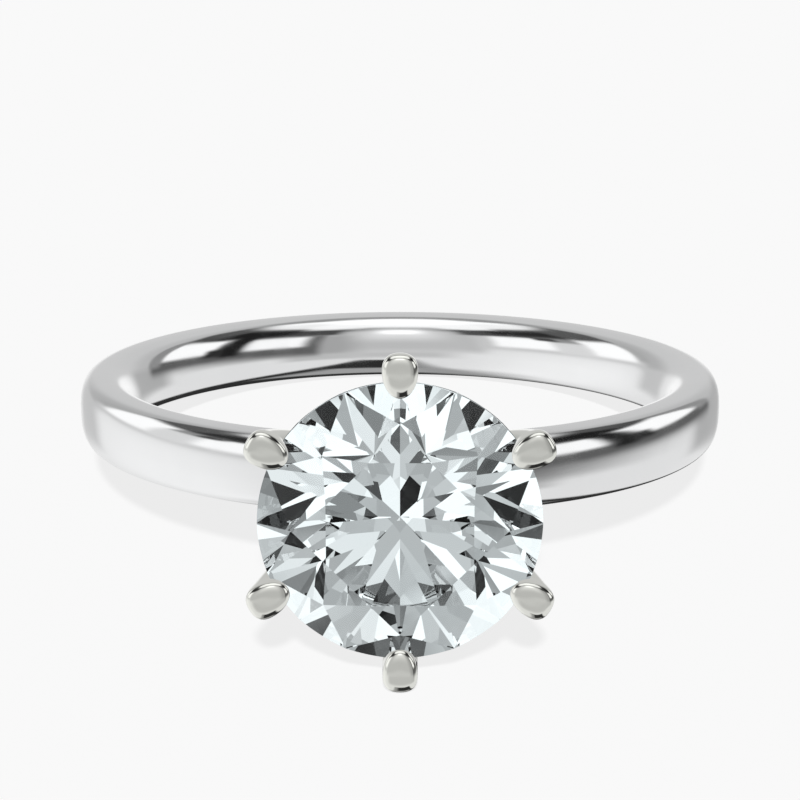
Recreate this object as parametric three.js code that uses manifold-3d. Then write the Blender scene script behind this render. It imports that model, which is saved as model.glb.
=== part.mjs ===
// Six-prong solitaire engagement ring: a comfort-fit shank, a peg head of six
// round-wire prongs on a gallery rail and a base collet, and one round
// brilliant diamond. Millimetres. The origin is the centre of the finger hole,
// +Z is up and the head points along -Y. The ring lies as it does on a table,
// on its lowest claw and the back of its band.
import * as THREE from 'three';
import { ConvexGeometry } from 'three/addons/geometries/ConvexGeometry.js';
import { LoftGeometry } from 'three/addons/geometries/LoftGeometry.js';
import { mergeVertices } from 'three/addons/utils/BufferGeometryUtils.js';
import Module from 'manifold-3d';

const wasm = await Module();
wasm.setup();

// ---- driving dimensions -------------------------------------------------

// Gap left between parts that touch on the real ring.
const FIT_GAP = 0.02;

// Lean of the finger axis away from the head when the ring lies on a table.
const REST_LEAN = THREE.MathUtils.degToRad(7.86);

// Shank: inner radius of US size 7, thick and wide at the back, slimmer at the head.
const SHANK = {
  innerRadius: 8.65,
  widthBack: 2.3,
  widthHead: 2.22,
  thicknessBack: 1.88,
  thicknessHead: 1.48,
  outerRoundness: 2.9,
  innerRoundness: 2.3,
  sections: 96,
  pointsPerSection: 18,
};

// Head peg, set in a blind hole drilled in the front of the shank.
const PEG = { radius: 0.5, top: -3.72, bottom: -5.08, holeDepth: 1.0, segments: 24 };

// Diamond: 7.4 mm round brilliant.
const STONE = {
  radius: 3.7,
  girdleThickness: 0.245,
  crownHeight: 1.11,
  tableRatio: 0.55,
  starRatio: 0.5,
  pavilionDepth: 3.21,
  lowerHalfRatio: 0.795,
  mainFacets: 8,
  girdleSteps: 4,
};

// Distance from the ring centre to the middle of the girdle.
const GIRDLE_OFFSET = 14.28;

// Prongs: round wire that leans out from the base like a tulip.
const PRONG = {
  count: 6,
  wireRadius: 0.46,
  radiusAtGirdle: 3.958,
  lean: 0.36,
  flare: 0.106,
  rootDepth: 3.6,
  clawReach: 0.7,
  clawStart: -0.05,
  clawFull: 0.28,
  shoulderRoundness: 2.5,
  domeStart: 0.37,
  domeHeight: 0.23,
  domeRoundness: 3.4,
  tipSlope: 1.8,
  stemLevels: 9,
  clawLevels: 3,
  domeAngles: [0, 10, 26, 43, 59, 72],
  pointsPerSection: 18,
};

// Gallery rail: a ring of round wire inside the prongs, let half way into them.
const RAIL = { radius: 2.62, wireRadius: 0.35, depth: 1.6, wireSegments: 12, ringSegments: 60 };

// Base collet: the little cup the prong roots are soldered to.
const COLLET = {
  topRadius: 1.98,
  waistRadius: 1.15,
  rimBore: 1.2,
  cupBore: 0.7,
  top: -3.25,
  cupFloor: -3.78,
  waist: -4.05,
  bottom: -4.6,
  curveSteps: 4,
  segments: 48,
};

// How far the prong roots stand proud of the collet's curve once filed back.
const ROOT_PROUD = 0.16;

const WELD = 1e-4;

// ---- materials ----------------------------------------------------------

function metal(name, color) {
  return new THREE.MeshStandardMaterial({ name, color, metalness: 1, roughness: 0.12 });
}

const shankGold = metal('shank_white_gold', 0xd8d9da);
const headGold = metal('head_white_gold', 0xd0cfc9);
const diamondMaterial = new THREE.MeshStandardMaterial({
  name: 'diamond',
  color: 0xeef5f6,
  metalness: 0,
  roughness: 0.02,
  flatShading: true,
});

// ---- solids -------------------------------------------------------------

function toSolid(geometry) {
  const source = new THREE.BufferGeometry().copy(geometry);
  source.deleteAttribute('normal');
  source.deleteAttribute('uv');
  const welded = mergeVertices(source, WELD);
  const vertProperties = welded.attributes.position.array;
  const triVerts = Uint32Array.from(welded.index.array);
  return new wasm.Manifold(new wasm.Mesh({ numProp: 3, vertProperties, triVerts }));
}

function toGeometry(solid) {
  const { vertProperties, triVerts } = solid.getMesh();
  const geometry = new THREE.BufferGeometry();
  geometry.setAttribute('position', new THREE.BufferAttribute(vertProperties, 3));
  geometry.setIndex(new THREE.BufferAttribute(triVerts, 1));
  geometry.computeVertexNormals();
  return geometry;
}

function cut(geometry, cutters) {
  let solid = toSolid(geometry);
  for (const cutter of cutters) {
    solid = solid.subtract(toSolid(cutter));
  }
  return toGeometry(solid);
}

function part(name, geometry, material) {
  const mesh = new THREE.Mesh(geometry, material.clone());
  mesh.name = name;
  return mesh;
}

// cos or sin raised to a power with its sign kept: the superellipse outline.
function signedPower(value, power) {
  return Math.sign(value) * Math.abs(value) ** power;
}

// ---- shank --------------------------------------------------------------

// One cross-section of the band; `turn` runs from the back (0) once round.
function shankSection(turn, gap) {
  const angle = turn * 2 * Math.PI;
  const towardsHead = (1 - Math.cos(angle)) / 2;
  const width = THREE.MathUtils.lerp(SHANK.widthBack, SHANK.widthHead, towardsHead);
  const thickness = THREE.MathUtils.lerp(SHANK.thicknessBack, SHANK.thicknessHead, towardsHead);
  const halfWidth = width / 2 + gap;
  const halfThickness = thickness / 2 + gap;
  const middle = SHANK.innerRadius + thickness / 2;
  const points = [];
  for (let i = 0; i < SHANK.pointsPerSection; i++) {
    const around = (i / SHANK.pointsPerSection) * 2 * Math.PI;
    const roundness = Math.cos(around) > 0 ? SHANK.outerRoundness : SHANK.innerRoundness;
    const radius = middle + halfThickness * signedPower(Math.cos(around), 2 / roundness);
    const height = halfWidth * signedPower(Math.sin(around), 2 / roundness);
    points.push(new THREE.Vector3(radius * Math.sin(angle), radius * Math.cos(angle), height));
  }
  return points;
}

function shankBody(gap) {
  const sections = [];
  for (let i = 0; i <= SHANK.sections; i++) {
    sections.push(shankSection((i % SHANK.sections) / SHANK.sections, gap));
  }
  return new LoftGeometry(sections);
}

function pegHole() {
  const outside = SHANK.innerRadius + SHANK.thicknessHead;
  const length = 2 * PEG.holeDepth;
  const radius = PEG.radius + FIT_GAP;
  const hole = new THREE.CylinderGeometry(radius, radius, length, PEG.segments);
  hole.translate(0, -outside, 0);
  return hole;
}

// ---- head, built with the stone's table up (+Z) and the girdle at z = 0 -----

function polar(radius, angle, z) {
  return new THREE.Vector3(radius * Math.cos(angle), radius * Math.sin(angle), z);
}

// Girdle edge of one half facet: the plane through the facet's inner corner and
// its two girdle corners, met by the stone's round side.
function halfFacetEdge(inner, from, to, steps) {
  const plane = new THREE.Plane().setFromCoplanarPoints(inner, from, to);
  const start = Math.atan2(from.y, from.x);
  const sweep = Math.atan2(
    from.x * to.y - from.y * to.x,
    from.x * to.x + from.y * to.y,
  );
  const points = [];
  for (let i = 0; i <= steps; i++) {
    const point = polar(STONE.radius, start + (sweep * i) / steps, 0);
    point.z = -(plane.normal.x * point.x + plane.normal.y * point.y + plane.constant) / plane.normal.z;
    points.push(point);
  }
  return points;
}

function brilliantCut() {
  const { radius, mainFacets, girdleSteps } = STONE;
  const facetAngle = (2 * Math.PI) / mainFacets;
  const halfAngle = facetAngle / 2;
  const girdle = STONE.girdleThickness / 2;
  const tableCorner = STONE.tableRatio * radius;
  const tableFlat = tableCorner * Math.cos(halfAngle);
  const crownSlope = STONE.crownHeight / (radius - tableCorner);
  const starRadius = THREE.MathUtils.lerp(tableFlat, radius, STONE.starRatio);
  const starHeight = girdle + crownSlope * (radius - starRadius * Math.cos(halfAngle));
  const pavilionSlope = STONE.pavilionDepth / radius;
  const lowerRadius = (1 - STONE.lowerHalfRatio) * radius;
  const lowerDepth = -girdle - pavilionSlope * (radius - lowerRadius * Math.cos(halfAngle));
  const points = [new THREE.Vector3(0, 0, -girdle - STONE.pavilionDepth)];
  for (let i = 0; i < mainFacets; i++) {
    const between = i * facetAngle;
    const star = polar(starRadius, between, starHeight);
    const lower = polar(lowerRadius, between, lowerDepth);
    points.push(polar(tableCorner, between + halfAngle, girdle + STONE.crownHeight), star, lower);
    for (const side of [-halfAngle, halfAngle]) {
      const upperHill = polar(radius, between, girdle);
      const upperTip = polar(radius, between + side, girdle);
      const lowerHill = polar(radius, between, -girdle);
      const lowerTip = polar(radius, between + side, -girdle);
      points.push(...halfFacetEdge(star, upperHill, upperTip, girdleSteps));
      points.push(...halfFacetEdge(lower, lowerHill, lowerTip, girdleSteps));
    }
  }
  return new ConvexGeometry(points);
}

// The stone's outline grown by the fit gap: what the prongs are notched with.
function seatCutter() {
  const grown = 1 + FIT_GAP / STONE.radius;
  return brilliantCut().scale(grown, grown, grown);
}

function prongCentre(depth) {
  return PRONG.radiusAtGirdle - PRONG.lean * depth - PRONG.flare * depth * depth;
}

// Level outline of a prong along +X: round wire below the girdle that turns into
// a claw above it, square-shouldered outside and reaching in over the stone. The
// claw's tip falls away more gently than its shoulders as the dome closes.
function prongSection(z, claw, shrink, gap) {
  const depth = -z;
  const slope = z < 0 ? PRONG.lean + 2 * PRONG.flare * depth : PRONG.lean * (1 - claw);
  const centre = prongCentre(Math.max(depth, -PRONG.clawFull));
  const halfWidth = PRONG.wireRadius * shrink + gap;
  const outer = PRONG.wireRadius * Math.hypot(1, slope) * shrink + gap;
  const reach = PRONG.clawReach * shrink ** PRONG.tipSlope + gap;
  const inner = THREE.MathUtils.lerp(outer, reach, claw);
  const shoulder = 2 / THREE.MathUtils.lerp(2, PRONG.shoulderRoundness, claw);
  const points = [];
  for (let i = 0; i < PRONG.pointsPerSection; i++) {
    const around = (i / PRONG.pointsPerSection) * 2 * Math.PI;
    const outward = Math.cos(around) > 0;
    const power = outward ? shoulder : 1;
    const x = (outward ? outer : inner) * signedPower(Math.cos(around), power);
    const y = halfWidth * signedPower(Math.sin(around), power);
    points.push(new THREE.Vector3(centre + x, y, z));
  }
  return points;
}

function prongBody(gap) {
  const { stemLevels, clawLevels, domeAngles } = PRONG;
  const sections = [];
  for (let i = 0; i < stemLevels; i++) {
    const z = THREE.MathUtils.lerp(-PRONG.rootDepth - gap, PRONG.clawStart, i / stemLevels);
    sections.push(prongSection(z, 0, 1, gap));
  }
  for (let i = 0; i <= clawLevels; i++) {
    const claw = i / clawLevels;
    const z = THREE.MathUtils.lerp(PRONG.clawStart, PRONG.clawFull, claw);
    sections.push(prongSection(z, claw, 1, gap));
  }
  for (const degrees of domeAngles) {
    const angle = THREE.MathUtils.degToRad(degrees);
    const rise = Math.sin(angle) ** (2 / PRONG.domeRoundness);
    const shrink = Math.cos(angle) ** (2 / PRONG.domeRoundness);
    sections.push(prongSection(PRONG.domeStart + PRONG.domeHeight * rise, 1, shrink, gap));
  }
  return new LoftGeometry(sections, { capStart: true, capEnd: true });
}

function prongAngle(index) {
  return Math.PI / 2 - (index * 2 * Math.PI) / PRONG.count;
}

function prongCutters() {
  const cutters = [];
  for (let i = 0; i < PRONG.count; i++) {
    cutters.push(prongBody(FIT_GAP).rotateZ(prongAngle(i)));
  }
  return cutters;
}

function galleryRail() {
  const { radius, wireRadius, wireSegments, ringSegments } = RAIL;
  const wire = new THREE.TorusGeometry(radius, wireRadius, wireSegments, ringSegments);
  wire.translate(0, 0, -RAIL.depth);
  return cut(wire, prongCutters());
}

// Quarter-round flare of the collet, from its waist up to its rim.
function colletFlare(proud) {
  const curve = new THREE.QuadraticBezierCurve(
    new THREE.Vector2(COLLET.waistRadius + proud, COLLET.waist),
    new THREE.Vector2(COLLET.waistRadius + proud, (COLLET.waist + COLLET.top) / 2),
    new THREE.Vector2(COLLET.topRadius + proud, COLLET.top),
  );
  return curve.getPoints(COLLET.curveSteps);
}

function turned(profile) {
  return new THREE.LatheGeometry(profile, COLLET.segments).rotateX(Math.PI / 2);
}

// Space the prongs are filed back to: a flared cup below, open above.
function filingEnvelope() {
  const reach = 2 * PRONG.radiusAtGirdle;
  const flare = colletFlare(ROOT_PROUD);
  return turned([
    new THREE.Vector2(0, COLLET.waist),
    ...flare,
    new THREE.Vector2(reach, COLLET.top),
    new THREE.Vector2(reach, reach),
    new THREE.Vector2(0, reach),
  ]);
}

// The shank as the head sees it, grown by the fit gap.
function saddleCutter() {
  const saddle = shankBody(FIT_GAP);
  saddle.translate(0, GIRDLE_OFFSET, 0);
  return saddle.rotateX(-Math.PI / 2);
}

function baseCollet() {
  const pegBore = PEG.radius + FIT_GAP;
  const body = turned([
    new THREE.Vector2(pegBore, COLLET.bottom),
    new THREE.Vector2(COLLET.waistRadius, COLLET.bottom),
    ...colletFlare(0),
    new THREE.Vector2(COLLET.rimBore, COLLET.top),
    new THREE.Vector2(COLLET.cupBore, COLLET.cupFloor),
    new THREE.Vector2(pegBore, COLLET.cupFloor),
    new THREE.Vector2(pegBore, COLLET.bottom),
  ]);
  return cut(body, [...prongCutters(), saddleCutter()]);
}

function headPeg() {
  const length = PEG.top - PEG.bottom;
  const peg = new THREE.CylinderGeometry(PEG.radius, PEG.radius, length, PEG.segments);
  return peg.rotateX(Math.PI / 2);
}

// ---- assembly -----------------------------------------------------------

// The finger axis is the band's own Z.
const band = new THREE.Group();
band.name = 'band';
band.rotation.x = -REST_LEAN;
band.add(part('shank', cut(shankBody(0), [pegHole()]), shankGold));

const head = new THREE.Group();
head.name = 'head';
head.rotation.x = Math.PI / 2;
head.position.y = -GIRDLE_OFFSET;
band.add(head);

const peg = part('head_peg', headPeg(), headGold);
peg.position.z = (PEG.top + PEG.bottom) / 2;
head.add(peg);
head.add(part('base_collet', baseCollet(), headGold));
head.add(part('gallery_rail', galleryRail(), headGold));

const prongGeometry = toGeometry(toSolid(prongBody(0)).intersect(toSolid(filingEnvelope())));
for (let i = 0; i < PRONG.count; i++) {
  const angle = prongAngle(i);
  const seat = seatCutter().rotateZ(-angle);
  const prong = part(`prong_${i + 1}`, cut(prongGeometry, [seat]), headGold);
  prong.rotation.z = angle;
  head.add(prong);
}

head.add(part('diamond', brilliantCut(), diamondMaterial));

const ring = new THREE.Group();
ring.name = 'solitaire_ring';
ring.add(band);

export default ring;
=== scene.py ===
"""Looks of the six-claw solitaire engagement ring: polished white gold and a round brilliant diamond.

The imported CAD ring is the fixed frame. Its faceted nodes are replaced by smooth pieces made from the
same formulas, so that the polish shows. Shapes are made in millimetres and placed in metres: the band
in its own frame, with the finger axis along Z, and the head with the stone's table up and its girdle
at z = 0.
"""

import math

import bmesh
import bpy
import numpy as np
from mathutils import Matrix, Vector


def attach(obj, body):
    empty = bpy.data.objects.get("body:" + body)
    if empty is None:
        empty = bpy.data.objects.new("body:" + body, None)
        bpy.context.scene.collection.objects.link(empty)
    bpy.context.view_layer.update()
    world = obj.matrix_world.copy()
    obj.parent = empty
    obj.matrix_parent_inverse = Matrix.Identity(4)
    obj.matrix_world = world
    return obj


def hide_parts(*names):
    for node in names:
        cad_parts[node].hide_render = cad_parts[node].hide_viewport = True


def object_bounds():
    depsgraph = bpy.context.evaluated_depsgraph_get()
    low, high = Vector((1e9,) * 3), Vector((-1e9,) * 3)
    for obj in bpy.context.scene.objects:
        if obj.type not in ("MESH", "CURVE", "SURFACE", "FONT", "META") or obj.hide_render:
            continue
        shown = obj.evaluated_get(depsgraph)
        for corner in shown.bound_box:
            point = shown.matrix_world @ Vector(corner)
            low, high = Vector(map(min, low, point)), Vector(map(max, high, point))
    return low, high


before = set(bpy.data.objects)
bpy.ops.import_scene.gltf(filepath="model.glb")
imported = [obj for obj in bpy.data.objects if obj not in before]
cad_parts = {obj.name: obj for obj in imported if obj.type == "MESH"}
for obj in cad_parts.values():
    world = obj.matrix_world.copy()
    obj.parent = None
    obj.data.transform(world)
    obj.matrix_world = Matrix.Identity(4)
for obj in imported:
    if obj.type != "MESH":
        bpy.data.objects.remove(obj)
cad_low, cad_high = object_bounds()

# ---- sizes, in millimetres unless a name says otherwise -----------------------------------

MM = 0.001
# How far the finger axis leans, with the ring at rest on its lowest claw and the back of its band.
REST_LEAN = math.radians(7.86)
# From the finger hole's centre to the stone's girdle.
GIRDLE_OFFSET = 14.28
# Seam left where two pieces are soldered or set against each other.
SEAM = 0.006
# Points nearer than this are one point.
WELD = 1e-5
# Edges that turn by more than this stay crisp on polished metal.
CREASE = math.radians(32)
# Points along a curve that is only measured, and along each broken edge of a turned profile.
FINE_STEPS, EDGE_STEPS = 6001, 5

SHANK_INNER_RADIUS = 8.65
SHANK_WIDTH = (2.3, 2.22)  # at the back, at the head
SHANK_THICKNESS = (1.88, 1.48)
SHANK_ROUNDNESS = (2.9, 2.3)  # outside, inside
SHANK_SECTIONS, SHANK_POINTS = 512, 128
SADDLE_SECTIONS, SADDLE_POINTS = 180, 48

PEG_RADIUS, PEG_TOP, PEG_BOTTOM = 0.5, -3.72, -5.08
PEG_HOLE_DEPTH = 1.0
PEG_EDGE = 0.06
PEG_SEGMENTS = 64

STONE_RADIUS = 3.7
# The cut below is the one that a search found nearest to the photo's pattern of facets.
GIRDLE_HALF = 0.1225
CROWN_HEIGHT = 1.11
TABLE_RATIO = 0.55
STAR_RATIO = 0.5
PAVILION_DEPTH = 3.21
LOWER_HALF_RATIO = 0.795
MAIN_FACETS = 8
GIRDLE_STEPS = 12
# The girdle's faces lean from upright by less than this sine.
GIRDLE_LEAN = 0.01
# Facets that meet within this angle are one facet.
FACET_TOLERANCE = math.radians(0.2)
# The photo's pattern of facets fits this best; a natural diamond's is 2.417.
DIAMOND_IOR = 2.62
# Share of the glare on its outside that the stone keeps, so that its dark facets stay dark.
STONE_GLARE = 0.1

PRONGS = 6
WIRE_RADIUS = 0.46
PRONG_AT_GIRDLE = 3.958
PRONG_LEAN, PRONG_FLARE = 0.36, 0.106
PRONG_ROOT = -3.6
STEM_TOP = -0.05
CLAW_REACH, SHOULDER_ROUNDNESS, TIP_SLOPE = 0.7, 2.5, 1.8
CLAW_FULL = 0.28
BEND_START, BEND_END, BEND_STEPS = 0.08, 0.44, 200
DOME_START, DOME_HEIGHT, DOME_ROUNDNESS = 0.37, 0.23, 3.4
DOME_LAST = math.radians(88)
STEM_LEVELS, CLAW_LEVELS, WALL_LEVELS, DOME_LEVELS, PRONG_POINTS = 44, 14, 4, 20, 56

RAIL_RADIUS, RAIL_WIRE, RAIL_Z = 2.62, 0.35, -1.6
RAIL_STEPS, RAIL_POINTS = 240, 36

COLLET_TOP_RADIUS, COLLET_WAIST_RADIUS = 1.98, 1.15
COLLET_RIM_BORE, COLLET_CUP_BORE = 1.2, 0.7
COLLET_TOP, COLLET_WAIST, COLLET_BOTTOM, CUP_FLOOR = -3.25, -4.05, -4.6, -3.78
COLLET_EDGE = 0.07
COLLET_SEGMENTS, FLARE_STEPS = 160, 16
ROOT_PROUD = 0.16

BAND_TO_ROW = Matrix.Scale(MM, 4) @ Matrix.Rotation(-REST_LEAN, 4, "X")
HEAD_TO_ROW = (
    BAND_TO_ROW
    @ Matrix.Translation((0, -GIRDLE_OFFSET, 0))
    @ Matrix.Rotation(math.pi / 2, 4, "X")
)
FLOOR_Z = cad_low.z


# ---- mesh helpers ------------------------------------------------------------------------

def lerp(a, b, t):
    return a + (b - a) * t


def smooth(t):
    t = np.clip(t, 0, 1)
    return t * t * (3 - 2 * t)


def signed_power(value, power):
    return np.sign(value) * np.abs(value) ** power


def even_steps(curve, start, end, count, turn_share=1.0):
    """Parameters that step evenly along a plane curve and round its bends; both ends included."""
    dense = np.linspace(start, end, FINE_STEPS)
    x, y = curve(dense)
    dx, dy = np.diff(x), np.diff(y)
    run = np.hypot(dx, dy)
    heading = np.unwrap(np.arctan2(dy, dx))
    turn = np.abs(np.diff(heading, prepend=heading[0]))
    gone = np.cumsum(run / run.sum() + turn_share * turn / turn.sum())
    return np.interp(np.linspace(0, gone[-1], count), np.concatenate([[0], gone]), dense)


def new_object(name, vertices, faces):
    mesh = bpy.data.meshes.new(name)
    mesh.from_pydata([tuple(v) for v in vertices], [], faces)
    piece = bpy.data.objects.new(name, mesh)
    bpy.context.scene.collection.objects.link(piece)
    return piece


def face_outwards(piece):
    shape = bmesh.new()
    shape.from_mesh(piece.data)
    bmesh.ops.recalc_face_normals(shape, faces=shape.faces)
    shape.to_mesh(piece.data)
    shape.free()


def loft(name, rings, closed=False):
    """A skin through rings of points, capped at both ends unless it closes on itself."""
    rings = np.asarray(rings)
    levels, points = rings.shape[:2]
    i = np.arange(levels if closed else levels - 1)[:, None] * points
    j = np.arange(points)[None, :]
    up = (i + points) % (levels * points)
    beside = (j + 1) % points
    faces = np.stack([i + j, i + beside, up + beside, up + j], -1).reshape(-1, 4).tolist()
    if not closed:
        faces.append(list(range(points)))
        faces.append(list(range((levels - 1) * points, levels * points)))
    piece = new_object(name, rings.reshape(-1, 3), faces)
    face_outwards(piece)
    return piece


def turned(name, profile, segments=COLLET_SEGMENTS):
    """A closed solid turned about Z from a closed profile of (radius, z) off the axis."""
    angles = np.linspace(0, 2 * np.pi, segments, endpoint=False)[:, None]
    radius, z = np.asarray(profile, float).T
    rings = np.stack([radius * np.cos(angles), radius * np.sin(angles), z + 0 * angles], -1)
    return loft(name, rings, closed=True)


def rounded(corners, size):
    """A closed profile with each corner cut back by size and rounded."""
    corners = np.asarray(corners, float)
    out = []
    for before, corner, after in zip(np.roll(corners, 1, 0), corners, np.roll(corners, -1, 0)):
        towards = [end - corner for end in (before, after)]
        reach = [min(size, np.hypot(*t) / 2) / np.hypot(*t) for t in towards]
        start, end = (corner + t * r for t, r in zip(towards, reach))
        for t in np.linspace(0, 1, EDGE_STEPS):
            out.append((1 - t) ** 2 * start + 2 * t * (1 - t) * corner + t * t * end)
    return out


def copy_of(piece, name, matrix=None):
    twin = bpy.data.objects.new(name, piece.data.copy())
    bpy.context.scene.collection.objects.link(twin)
    if matrix is not None:
        twin.data.transform(matrix)
    return twin


def discard(*pieces):
    for piece in pieces:
        bpy.data.objects.remove(piece)


def carve(piece, cutter, operation="DIFFERENCE"):
    modifier = piece.modifiers.new("carve", "BOOLEAN")
    modifier.operation = operation
    modifier.solver = "EXACT"
    modifier.object = cutter
    graph = bpy.context.evaluated_depsgraph_get()
    carved = bpy.data.meshes.new_from_object(piece.evaluated_get(graph))
    piece.modifiers.clear()
    piece.data = carved


def polish(piece):
    """Welds leftovers of carving and smooths the shading, with creases kept."""
    shape = bmesh.new()
    shape.from_mesh(piece.data)
    bmesh.ops.remove_doubles(shape, verts=shape.verts, dist=WELD)
    bmesh.ops.dissolve_degenerate(shape, edges=shape.edges, dist=WELD)
    for face in shape.faces:
        face.smooth = True
    for edge in shape.edges:
        edge.smooth = edge.is_manifold and edge.calc_face_angle(0.0) < CREASE
    shape.to_mesh(piece.data)
    shape.free()


# ---- shank -------------------------------------------------------------------------------

def shank_outline(around):
    """The cross-section's half-unit outline: outward, then along the finger axis."""
    outward = np.cos(around) > 0
    power = 2 / np.where(outward, *SHANK_ROUNDNESS)
    return signed_power(np.cos(around), power), signed_power(np.sin(around), power)


def shank(name, sections, points, gap=0.0):
    around = even_steps(shank_outline, 0, 2 * np.pi, points + 1)[:-1]
    outward, along = shank_outline(around)
    turn = np.linspace(0, 2 * np.pi, sections, endpoint=False)[:, None]
    to_head = (1 - np.cos(turn)) / 2
    thickness = lerp(*SHANK_THICKNESS, to_head)
    width = lerp(*SHANK_WIDTH, to_head)
    radius = SHANK_INNER_RADIUS + thickness / 2 + (thickness / 2 + gap) * outward
    height = (width / 2 + gap) * along
    rings = np.stack([radius * np.sin(turn), radius * np.cos(turn), height], -1)
    return loft(name, rings, closed=True)


def peg_hole():
    outside = SHANK_INNER_RADIUS + SHANK_THICKNESS[1]
    angles = np.linspace(0, 2 * np.pi, PEG_SEGMENTS, endpoint=False)
    radius = PEG_RADIUS + SEAM
    rings = [
        np.stack([radius * np.cos(angles), 0 * angles + y, radius * np.sin(angles)], -1)
        for y in (-outside - PEG_HOLE_DEPTH, -outside + PEG_HOLE_DEPTH)
    ]
    return loft("peg_hole", rings)


# ---- diamond -----------------------------------------------------------------------------

def polar(radius, angle, z):
    return Vector((radius * math.cos(angle), radius * math.sin(angle), z))


def half_facet_edge(inner, hill, tip):
    """Where the plane of a half facet meets the stone's round side."""
    normal = (hill - inner).cross(tip - inner)
    start = math.atan2(hill.y, hill.x)
    sweep = math.remainder(math.atan2(tip.y, tip.x) - start, 2 * math.pi)
    edge = []
    for step in range(GIRDLE_STEPS + 1):
        point = polar(STONE_RADIUS, start + sweep * step / GIRDLE_STEPS, 0)
        point.z = inner.z - (normal.x * (point.x - inner.x) + normal.y * (point.y - inner.y)) / normal.z
        edge.append(point)
    return edge


def brilliant(name):
    """A round brilliant as the hull of its corners, with the scalloped edges of its girdle."""
    facet = 2 * math.pi / MAIN_FACETS
    half = facet / 2
    table_corner = TABLE_RATIO * STONE_RADIUS
    table_z = GIRDLE_HALF + CROWN_HEIGHT
    crown_slope = CROWN_HEIGHT / (STONE_RADIUS - table_corner)
    star_radius = lerp(table_corner * math.cos(half), STONE_RADIUS, STAR_RATIO)
    star_z = GIRDLE_HALF + crown_slope * (STONE_RADIUS - star_radius * math.cos(half))
    pavilion_slope = PAVILION_DEPTH / STONE_RADIUS
    lower_radius = (1 - LOWER_HALF_RATIO) * STONE_RADIUS
    lower_z = -GIRDLE_HALF - pavilion_slope * (STONE_RADIUS - lower_radius * math.cos(half))
    points = [Vector((0, 0, -GIRDLE_HALF - PAVILION_DEPTH))]
    for i in range(MAIN_FACETS):
        angle = i * facet
        star = polar(star_radius, angle, star_z)
        lower = polar(lower_radius, angle, lower_z)
        points += [polar(table_corner, angle + half, table_z), star, lower]
        for side in (-half, half):
            for inner, z in ((star, GIRDLE_HALF), (lower, -GIRDLE_HALF)):
                hill = polar(STONE_RADIUS, angle, z)
                tip = polar(STONE_RADIUS, angle + side, z)
                points += half_facet_edge(inner, hill, tip)
    shape = bmesh.new()
    for point in points:
        shape.verts.new(point)
    bmesh.ops.remove_doubles(shape, verts=shape.verts, dist=WELD)
    hull = bmesh.ops.convex_hull(shape, input=shape.verts)
    spare = {e for key in ("geom_interior", "geom_unused") for e in hull[key]}
    bmesh.ops.delete(shape, geom=[e for e in spare if isinstance(e, bmesh.types.BMVert)])
    bmesh.ops.dissolve_limit(
        shape, angle_limit=FACET_TOLERANCE, verts=shape.verts, edges=shape.edges
    )
    piece = new_object(name, [], [])
    shape.to_mesh(piece.data)
    shape.free()
    return piece


# ---- head --------------------------------------------------------------------------------

def prong_slope(z):
    stem = PRONG_LEAN - 2 * PRONG_FLARE * np.minimum(z, 0)
    return stem * (1 - smooth((z - BEND_START) / (BEND_END - BEND_START)))


def prong_centre(z):
    """Distance of the wire's centre from the stone's axis: a tulip curve that ends upright."""
    fine = np.linspace(BEND_START, BEND_END, BEND_STEPS)
    rise = np.concatenate([[0], np.cumsum(np.diff(fine) * prong_slope((fine[1:] + fine[:-1]) / 2))])
    low = min(z, BEND_START)
    stem = PRONG_AT_GIRDLE + PRONG_LEAN * low - PRONG_FLARE * low * low
    return stem + np.interp(z, fine, rise)


def prong_ring(z, claw, shrink, gap):
    around = np.linspace(0, 2 * np.pi, PRONG_POINTS, endpoint=False)
    outward = np.cos(around) > 0
    outer = WIRE_RADIUS * math.hypot(1, prong_slope(z)) * shrink + gap
    inner = lerp(outer, CLAW_REACH * shrink ** TIP_SLOPE + gap, claw)
    power = np.where(outward, 2 / lerp(2, SHOULDER_ROUNDNESS, claw), 1)
    x = np.where(outward, outer, inner) * signed_power(np.cos(around), power) + prong_centre(z)
    y = (WIRE_RADIUS * shrink + gap) * signed_power(np.sin(around), power)
    return np.stack([x, y, np.full_like(x, z)], -1)


def dome_outline(angle):
    power = 2 / DOME_ROUNDNESS
    return WIRE_RADIUS * np.cos(angle) ** power, DOME_HEIGHT * np.sin(angle) ** power


def prong_blank(name, gap=0.0):
    rings = [prong_ring(z, 0, 1, gap) for z in np.linspace(PRONG_ROOT - gap, STEM_TOP, STEM_LEVELS)]
    for z in np.linspace(STEM_TOP, CLAW_FULL, CLAW_LEVELS)[1:]:
        rings.append(prong_ring(z, smooth((z - STEM_TOP) / (CLAW_FULL - STEM_TOP)), 1, gap))
    for z in np.linspace(CLAW_FULL, DOME_START, WALL_LEVELS)[1:-1]:
        rings.append(prong_ring(z, 1, 1, gap))
    for angle in even_steps(dome_outline, 0, DOME_LAST, DOME_LEVELS):
        radius, rise = dome_outline(angle)
        rings.append(prong_ring(DOME_START + rise, 1, radius / WIRE_RADIUS, gap))
    return loft(name, rings)


def prong_turn(index):
    return Matrix.Rotation(math.pi / 2 - index * 2 * math.pi / PRONGS, 4, "Z")


def collet_flare(proud):
    """The cup's outside, or one that stands proud of it: upright at the waist, flared to the rim."""
    foot = np.array([COLLET_WAIST_RADIUS + proud, COLLET_WAIST])
    middle = np.array([COLLET_WAIST_RADIUS + proud, (COLLET_WAIST + COLLET_TOP) / 2])
    rim = np.array([COLLET_TOP_RADIUS + proud, COLLET_TOP])
    return [
        (1 - t) ** 2 * foot + 2 * t * (1 - t) * middle + t * t * rim
        for t in np.linspace(0, 1, FLARE_STEPS)
    ]


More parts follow.
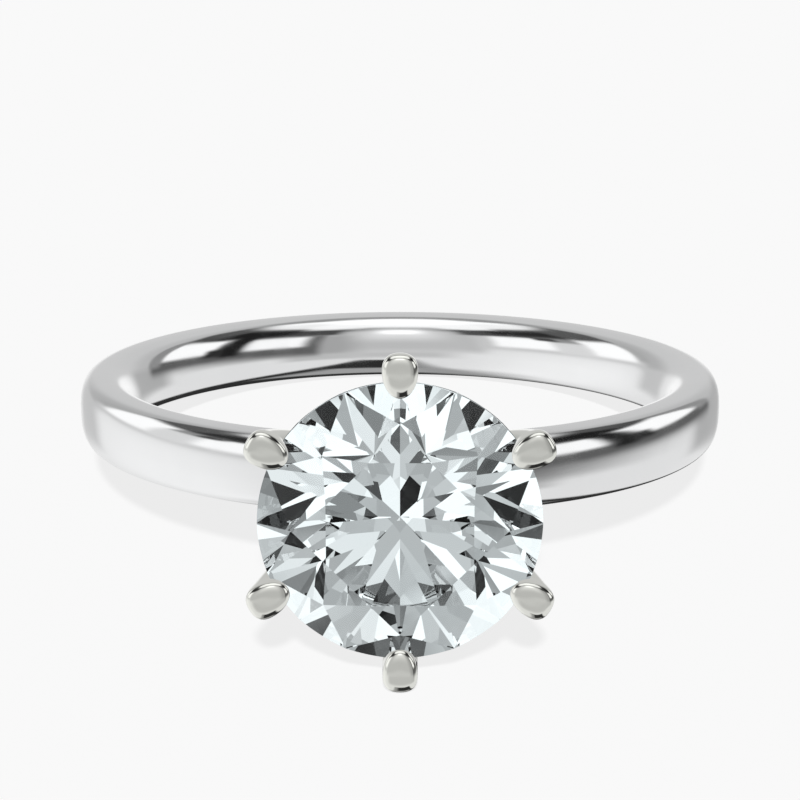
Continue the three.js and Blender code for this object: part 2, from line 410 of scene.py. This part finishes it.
def filing_envelope():
    """The space the prong roots are filed back to: a flared cup below, open above."""
    reach = 2 * PRONG_AT_GIRDLE
    axis = 0.01
    return turned("envelope", [
        (axis, COLLET_WAIST), *collet_flare(ROOT_PROUD),
        (reach, COLLET_TOP), (reach, reach), (axis, reach),
    ])


def collet_blank():
    """The cup's turned body, its rim edges broken by the polishing."""
    bore = PEG_RADIUS + SEAM
    flare = collet_flare(0)
    corners = [flare[-2], flare[-1], (COLLET_RIM_BORE, COLLET_TOP), (COLLET_CUP_BORE, CUP_FLOOR)]
    # Only the two middle corners are the lip's own.
    lip = rounded(corners, COLLET_EDGE)[EDGE_STEPS:3 * EDGE_STEPS]
    return turned("base_collet_polished", [
        (bore, COLLET_BOTTOM), (COLLET_WAIST_RADIUS, COLLET_BOTTOM),
        *flare[:-1], *lip, (COLLET_CUP_BORE, CUP_FLOOR), (bore, CUP_FLOOR),
    ])


def rail_blank():
    around = np.linspace(0, 2 * np.pi, RAIL_POINTS, endpoint=False)
    profile = np.stack([
        RAIL_RADIUS + RAIL_WIRE * np.cos(around), RAIL_Z + RAIL_WIRE * np.sin(around)
    ], -1)
    return turned("gallery_rail_polished", profile, RAIL_STEPS)


def peg():
    rim = np.linspace(0, np.pi / 2, EDGE_STEPS + 1)
    core = PEG_RADIUS - PEG_EDGE
    angles = np.linspace(0, 2 * np.pi, PEG_SEGMENTS, endpoint=False)
    profile = [
        (core + PEG_EDGE * math.cos(a), PEG_TOP - PEG_EDGE + PEG_EDGE * math.sin(a)) for a in rim
    ]
    profile = [(radius, PEG_BOTTOM + PEG_TOP - z) for radius, z in profile[::-1]] + profile
    rings = [
        np.stack([r * np.cos(angles), r * np.sin(angles), np.full_like(angles, z)], -1)
        for r, z in profile
    ]
    return loft("head_peg_polished", rings)


# ---- materials ---------------------------------------------------------------------------

class Nodes:
    """A node tree with short calls for adding and joining nodes."""

    def __init__(self, owner):
        owner.use_nodes = True
        self.tree = owner.node_tree
        self.tree.nodes.clear()

    def add(self, kind, inputs=None, **settings):
        node = self.tree.nodes.new(kind)
        for key, value in settings.items():
            setattr(node, key, value)
        for key, value in (inputs or {}).items():
            self.feed(node.inputs[key], value)
        return node

    def feed(self, socket, value):
        if isinstance(value, bpy.types.NodeSocket):
            self.tree.links.new(value, socket)
        else:
            socket.default_value = value

    def math(self, operation, *values):
        node = self.add("ShaderNodeMath", operation=operation)
        for socket, value in zip(node.inputs, values):
            self.feed(socket, value)
        return node.outputs[0]

    def fade(self, value, start, end, low=0.0, high=1.0, kind="SMOOTHSTEP"):
        return self.add("ShaderNodeMapRange", {
            "Value": value, "From Min": start, "From Max": end, "To Min": low, "To Max": high,
        }, interpolation_type=kind).outputs[0]


def white_gold(name, pale, deep, roughness):
    """Polished white gold: rhodium sheen that drifts in tone, with faint buffing marks."""
    material = bpy.data.materials.new(name)
    nodes = Nodes(material)
    where = nodes.add("ShaderNodeTexCoord").outputs["Object"]
    drift = nodes.add("ShaderNodeTexNoise", {"Vector": where, "Scale": 320.0, "Detail": 3.0})
    tone = nodes.add("ShaderNodeValToRGB", {"Fac": drift.outputs["Fac"]})
    tone.color_ramp.elements[0].position, tone.color_ramp.elements[1].position = 0.35, 0.65
    tone.color_ramp.elements[0].color = (*deep, 1)
    tone.color_ramp.elements[1].color = (*pale, 1)
    haze = nodes.add("ShaderNodeTexNoise", {"Vector": where, "Scale": 900.0, "Detail": 4.0})
    sheen = nodes.fade(haze.outputs["Fac"], 0.3, 0.75, roughness * 0.7, roughness * 1.5)
    stretched = nodes.add("ShaderNodeMapping", {"Vector": where, "Scale": (1.0, 1.0, 6.0)})
    marks = nodes.add(
        "ShaderNodeTexNoise",
        {"Vector": stretched.outputs[0], "Scale": 2600.0, "Detail": 5.0, "Roughness": 0.6},
    )
    bump = nodes.add(
        "ShaderNodeBump", {"Height": marks.outputs["Fac"], "Strength": 0.12, "Distance": 1.5e-6}
    )
    shader = nodes.add("ShaderNodeBsdfPrincipled", {
        "Base Color": tone.outputs["Color"], "Metallic": 1.0, "Roughness": sheen,
        "Normal": bump.outputs["Normal"],
    })
    nodes.add("ShaderNodeOutputMaterial", {"Surface": shader.outputs[0]})
    return material


def diamond_material(name):
    """Near-colourless diamond with a cool tint that drifts faintly through the stone."""
    material = bpy.data.materials.new(name)
    nodes = Nodes(material)
    where = nodes.add("ShaderNodeTexCoord").outputs["Object"]
    drift = nodes.add("ShaderNodeTexNoise", {"Vector": where, "Scale": 400.0, "Detail": 1.0})
    tone = nodes.add("ShaderNodeValToRGB", {"Fac": drift.outputs["Fac"]})
    tone.color_ramp.elements[0].position, tone.color_ramp.elements[1].position = 0.3, 0.7
    tone.color_ramp.elements[0].color = (0.89, 0.975, 0.995, 1)
    tone.color_ramp.elements[1].color = (0.92, 0.985, 1.0, 1)
    shader = nodes.add("ShaderNodeBsdfPrincipled", {
        "Base Color": tone.outputs["Color"], "Roughness": 0.0, "IOR": DIAMOND_IOR,
        "Specular Tint": (STONE_GLARE,) * 3 + (1,), "Transmission Weight": 1.0,
    })
    # The band and claws mirror the studio alone: their blurred reflections pass the stone by.
    path = nodes.add("ShaderNodeLightPath").outputs
    clear = nodes.add("ShaderNodeBsdfTransparent")
    sharp = nodes.add(
        "ShaderNodeMixShader", {0: path["Is Singular Ray"], 1: clear.outputs[0], 2: shader.outputs[0]}
    )
    seen = nodes.add(
        "ShaderNodeMixShader", {0: path["Is Glossy Ray"], 1: shader.outputs[0], 2: sharp.outputs[0]}
    )
    nodes.add("ShaderNodeOutputMaterial", {"Surface": seen.outputs[0]})
    return material


# ---- the ring ----------------------------------------------------------------------------

def settle(piece, matrix, node, material):
    """Places a finished metal piece in the row frame, in the stead of its CAD node."""
    piece.data.transform(matrix)
    piece.data.materials.clear()
    piece.data.materials.append(material)
    # Metal mirrors the studio alone: it doesn't show in other metal, through the stone or on the floor.
    piece.visible_diffuse = False
    piece.visible_glossy = False
    piece.visible_transmission = False
    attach(piece, "root")
    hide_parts(node)


shank_gold = white_gold(
    "shank_white_gold", pale=(0.845, 0.85, 0.855), deep=(0.825, 0.83, 0.835), roughness=0.1
)
head_gold = white_gold(
    "head_white_gold", pale=(0.81, 0.815, 0.77), deep=(0.79, 0.795, 0.75), roughness=0.045
)
diamond_polish = diamond_material("diamond_polished")

band = shank("shank_polished", SHANK_SECTIONS, SHANK_POINTS)
hole = peg_hole()
carve(band, hole)
polish(band)
settle(band, BAND_TO_ROW, "shank", shank_gold)

stone = brilliant("diamond_cut")
grown = 1 + SEAM / STONE_RADIUS
seat = copy_of(stone, "seat", Matrix.Scale(grown, 4))
stone.data.materials.append(diamond_polish)
for polygon in stone.data.polygons:
    polygon.use_smooth = abs(polygon.normal.z) < GIRDLE_LEAN

blank = prong_blank("blank")
envelope = filing_envelope()
carve(blank, envelope, "INTERSECT")
cutters = []
for index in range(PRONGS):
    cutters.append(prong_blank(f"cutter_{index}", SEAM))
    cutters[-1].data.transform(prong_turn(index))
    prong = copy_of(blank, f"prong_{index + 1}_polished", prong_turn(index))
    carve(prong, seat)
    polish(prong)
    settle(prong, HEAD_TO_ROW, f"prong_{index + 1}", head_gold)

rail = rail_blank()
collet = collet_blank()
saddle = shank("saddle", SADDLE_SECTIONS, SADDLE_POINTS, SEAM)
saddle.data.transform(HEAD_TO_ROW.inverted() @ BAND_TO_ROW)
carve(collet, saddle)
for cutter in cutters:
    carve(rail, cutter)
    carve(collet, cutter)
polish(rail)
polish(collet)
settle(rail, HEAD_TO_ROW, "gallery_rail", head_gold)
settle(collet, HEAD_TO_ROW, "base_collet", head_gold)

pin = peg()
polish(pin)
settle(pin, HEAD_TO_ROW, "head_peg", head_gold)

stone.data.transform(HEAD_TO_ROW)
stone.visible_diffuse = False
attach(stone, "root")
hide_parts("diamond")
discard(hole, seat, blank, envelope, saddle, *cutters)

# ---- studio ------------------------------------------------------------------------------

BACKGROUND = 0.947
# The floor's tone out of the key lamp's light, and the part of it that nothing shades.
FLOOR_SHADE, FLOOR_GLOW = 0.838, 0.7
FLOOR_ALBEDO = 0.85
AMBIENT = (FLOOR_SHADE - FLOOR_GLOW) / FLOOR_ALBEDO
# Narrowest fade between tones and smallest drop of a ray, so that nothing is divided by zero.
SHARPEST = 1e-3
# Tones of the room between the cards, and of the darker room that the stone gathers.
ROOM, STONE_ROOM = 0.6, 0.43
FLOOR_RADIUS, FLOOR_SIDES = 1200 * MM, 96
# The camera is aimed at the ring's centre, and the key lamp shines from above it.
CAMERA_ELEVATION, CAMERA_DISTANCE = math.radians(20.6), 67.04 * MM
CAMERA_LENS, CAMERA_SENSOR = 92.34, 36.0
KEY_ELEVATION, KEY_SPREAD = math.radians(41), math.radians(5)

# Cards round the ring, placed after the tones that the photo's band mirrors, and painted in
# this order: azimuth from and to, elevation from and to, softness at the sides and at top and
# bottom, all in degrees, and brightness. Azimuth 0 is the camera's side and 90 is +X.
ALL_ROUND = (-200, 200)
CARDS = [
    # floor half: pale, brightest at the left
    (*ALL_ROUND, -100, 0, 0, 8, 0.86),
    (-130, -50, -66, -6, 60, 30, 1.03),
    (*ALL_ROUND, -100, -70, 0, 24, 0.5),
    # away side: an even pale grey wall that darkens under the ceiling
    (132, 228, -5, 62, 20, 10, 0.65),
    (134, 156, -5, 62, 20, 10, 0.56),
    (204, 226, -5, 62, 20, 10, 0.50),
    (140, 220, 52, 69, 20, 10, 0.34),
    (125, 162, -24, -2, 14, 10, 0.48),
    (-158, -133, -24, -2, 12, 10, 0.62),
    (170, 190, -19, -5, 14, 8, 1.0),
    # camera's side: a grey room with the key lamp's glow
    (-40, 36, -8, 62, 10, 12, 0.58),
    (20, 40, -13, 30, 16, 10, 0.43),
    (18, 54, -24, -10, 14, 8, 0.58),
    (-24, 24, -24, -8, 20, 12, 0.60),
    (-38, 38, 43, 56, 10, 8, 0.27),
    (-19, 19, 16, 52, 24, 26, 0.86),
    (-10, 10, 33, 46, 14, 12, 1.5),
    # ceiling, lowest over the shoulders of the camera's side
    (-140, 140, 60, 100, 10, 12, 1.16),
    (*ALL_ROUND, 70, 100, 0, 9, 1.25),
    (-112, -70, 57, 72, 20, 9, 1.05),
    (70, 112, 58, 72, 20, 9, 1.0),
    (-68, -26, 52, 72, 16, 9, 1.12),
    (26, 70, 54, 72, 16, 9, 1.12),
    # dark band under the ceiling, left and right
    (-136, -31, 32, 50, 10, 6, 0.085),
    (-140, -62, 40, 56, 12, 8, 0.11),
    (-96, -50, 37, 51, 12, 10, 0.028),
    (31, 136, 32, 50, 10, 6, 0.075),
    (62, 140, 40, 56, 12, 8, 0.10),
    (60, 108, 30, 52, 14, 10, 0.016),
    # left: two softboxes with a grey gap
    (-136, -36, -2, 29, 8, 10, 0.66),
    (-100, -74, 25, 34, 10, 8, 0.30),
    (-99, -77, 0, 24, 8, 6, 0.80),
    (-130, -99, 3, 34, 8, 8, 1.18),
    (-142, -132, 6, 32, 6, 8, 0.46),
    (-77, -45, 4, 30, 8, 8, 1.16),
    (-84, -70, 26, 34, 6, 5, 0.06),
    # right: two softboxes with a black gap, over a dark strip
    (37, 140, -12, 33, 6, 12, 0.13),
    (45, 76, 3, 29, 8, 7, 1.14),
    (94, 131, 4, 32, 7, 7, 1.16),
    (78, 90, -4, 38, 5, 6, 0.015),
    (88, 99, -2, 13, 6, 8, 0.03),
    (131, 141, -3, 33, 6, 8, 0.30),
]
# The table's dark runner, on the floor plane: across and away over the drop below the ring.
RUNNER = [
    (-0.22, -0.06, -1.7, 2.4, 0.16, 0.3, 0.36),
    (-0.08, 0.57, -1.6, 2.3, 0.14, 0.3, 0.03),
    (-0.12, 0.36, -0.36, 0.36, 0.16, 0.2, 0.4),
]
# A plainer studio for the stone to gather through its facets, equally soft on every side: azimuth
# from and to, elevation from and to, and brightness. It isn't all placed by hand: more than half of
# the cards are ones that a fitting program chose from the photo, changed a little.
STONE_SOFTNESS = 4
STONE_CARDS = [
    (*span, STONE_SOFTNESS, STONE_SOFTNESS, level) for *span, level in (
        # ceiling: bright on the right, paler on the left
        (45, 100, 42, 90, 1.1),
        (-100, -45, 45, 90, 0.6),
        (20, 95, 70, 86, 1.3),
        # softboxes either side of the camera, the left one in two halves
        (6, 75, 14, 44, 1.15),
        (-90, -22, 6, 23, 1.1),
        (-90, -45, 23, 46, 1.1),
        # a dark wall over the left one, and the grey walls behind the camera
        (-45, -22, 23, 50, 0.24),
        (-12, 10, -12, 30, 0.5),
        (10, 24, -12, 14, 0.6),
        (-25, -10, 0, 40, 0.85),
        # a black flag over the camera
        (-38, 38, 46, 64, 0.02),
        (-13, 13, 48, 80, 0.01),
        # the dark horizon
        (-80, -25, -7, 6, 0.12),
        (24, 41, -20, 5, 0.08),
        # the pale table in front, with a black strip down its middle
        (-80, -25, -30, -9, 1.1),
        (3, 16, -26, -12, 1.0),
        (-8, 0, -60, -14, 0.01),
        (22, 45, -60, -24, 1.05),
        # behind the ring
        (145, 160, -5, 85, 1.4),
        (115, 175, -26, -6, 0.02),
        (-180, -146, -42, 14, 0.06),
        (75, 170, 14, 26, 1.0),
    )
]


def paint(nodes, light, across, along, cards, turns=False):
    """Covers light with cards over two coordinates, each with soft edges; turns wraps the first."""
    for start, end, low, high, side, edge, level in cards:
        cover = []
        for value, a, b, soft in ((across, start, end, side), (along, low, high, edge)):
            if b - a >= 360:
                continue
            off = nodes.math("SUBTRACT", value, (a + b) / 2)
            if turns and value is across:
                off = nodes.math("WRAP", off, 180.0, -180.0)
            half = (b - a) / 2
            cover.append(nodes.fade(
                nodes.math("ABSOLUTE", off), half + soft / 2 + SHARPEST, half - soft / 2
            ))
        share = nodes.math("MULTIPLY", *cover) if len(cover) == 2 else cover[0]
        light = nodes.fade(share, 0.0, 1.0, light, level, "LINEAR")
    return light


def studio_world():
    """An even pale room to the camera, cards to what metal mirrors, and others to the stone."""
    world = bpy.data.worlds.new("studio")
    nodes = Nodes(world)
    ray = nodes.add("ShaderNodeSeparateXYZ", {
        "Vector": nodes.add("ShaderNodeTexCoord").outputs["Generated"]
    }).outputs
    towards_camera = nodes.math("MULTIPLY", ray["Y"], -1.0)
    azimuth = nodes.math("DEGREES", nodes.math("ARCTAN2", ray["X"], towards_camera))
    elevation = nodes.math("DEGREES", nodes.math("ARCSINE", ray["Z"]))
    drop = nodes.math("MAXIMUM", nodes.math("MULTIPLY", ray["Z"], -1.0), SHARPEST)
    walls = paint(nodes, ROOM, azimuth, elevation, CARDS, turns=True)
    across, away = (nodes.math("DIVIDE", ray[axis], drop) for axis in ("X", "Y"))
    ground = paint(nodes, walls, across, away, RUNNER)
    below = nodes.math("LESS_THAN", ray["Z"], 0.0)
    path = nodes.add("ShaderNodeLightPath").outputs
    around = [
        nodes.fade(path["Is Camera Ray"], 0.0, 1.0, AMBIENT, BACKGROUND, "LINEAR"),
        nodes.fade(below, 0.0, 1.0, walls, ground, "LINEAR"),
        paint(nodes, STONE_ROOM, azimuth, elevation, STONE_CARDS, turns=True),
    ]
    soft, cards, stone_cards = (
        nodes.add("ShaderNodeBackground", {"Color": (1, 1, 1, 1), "Strength": light}).outputs[0]
        for light in around
    )
    mirrored = nodes.add("ShaderNodeMixShader", {0: path["Is Glossy Ray"], 1: soft, 2: cards})
    through = nodes.math("MAXIMUM", path["Is Transmission Ray"], path["Is Singular Ray"])
    through = nodes.math("MULTIPLY", through, nodes.math("SUBTRACT", 1.0, path["Is Camera Ray"]))
    seen = nodes.add("ShaderNodeMixShader", {0: through, 1: mirrored.outputs[0], 2: stone_cards})
    nodes.add("ShaderNodeOutputWorld", {"Surface": seen.outputs[0]})
    return world


def floor():
    """A pale floor that glows, so that shadows stay faint; clear from below."""
    angles = np.linspace(0, 2 * np.pi, FLOOR_SIDES, endpoint=False)
    points = [(FLOOR_RADIUS * math.cos(a), FLOOR_RADIUS * math.sin(a), FLOOR_Z) for a in angles]
    piece = new_object("floor", points, [list(range(len(points)))])
    material = bpy.data.materials.new("pale_floor")
    nodes = Nodes(material)
    lit = nodes.add("ShaderNodeBsdfDiffuse", {"Color": (FLOOR_ALBEDO,) * 3 + (1,)})
    glow = nodes.add("ShaderNodeEmission", {"Color": (FLOOR_GLOW,) * 3 + (1,), "Strength": 1.0})
    seen = nodes.add("ShaderNodeAddShader", {0: lit.outputs[0], 1: glow.outputs[0]})
    clear = nodes.add("ShaderNodeBsdfTransparent")
    below = nodes.add("ShaderNodeNewGeometry").outputs["Backfacing"]
    mix = nodes.add("ShaderNodeMixShader", {0: below, 1: seen.outputs[0], 2: clear.outputs[0]})
    nodes.add("ShaderNodeOutputMaterial", {"Surface": mix.outputs[0]})
    piece.data.materials.append(material)
    piece.visible_glossy = False
    piece.visible_transmission = False


def key_lamp():
    lamp = bpy.data.lights.new("key", "SUN")
    lamp.angle = KEY_SPREAD
    lamp.energy = (BACKGROUND - FLOOR_SHADE) * math.pi / (FLOOR_ALBEDO * math.sin(KEY_ELEVATION))
    thing = bpy.data.objects.new("key", lamp)
    bpy.context.scene.collection.objects.link(thing)
    aim = Vector((0, math.cos(KEY_ELEVATION), -math.sin(KEY_ELEVATION)))
    thing.rotation_euler = aim.to_track_quat("-Z", "Y").to_euler()
    thing.visible_glossy = False
    thing.visible_transmission = False


def camera():
    data = bpy.data.cameras.new("camera")
    data.lens, data.sensor_width = CAMERA_LENS, CAMERA_SENSOR
    data.clip_start, data.clip_end = 0.001, 10.0
    thing = bpy.data.objects.new("camera", data)
    bpy.context.scene.collection.objects.link(thing)
    back = Vector((0, -math.cos(CAMERA_ELEVATION), math.sin(CAMERA_ELEVATION)))
    thing.location = back * CAMERA_DISTANCE
    thing.rotation_euler = (-back).to_track_quat("-Z", "Y").to_euler()
    bpy.context.scene.camera = thing


scene = bpy.context.scene
scene.world = studio_world()
floor()
key_lamp()
camera()
scene.view_settings.view_transform = "Standard"
scene.cycles.max_bounces = 32
scene.cycles.glossy_bounces = 12
scene.cycles.transmission_bounces = 32
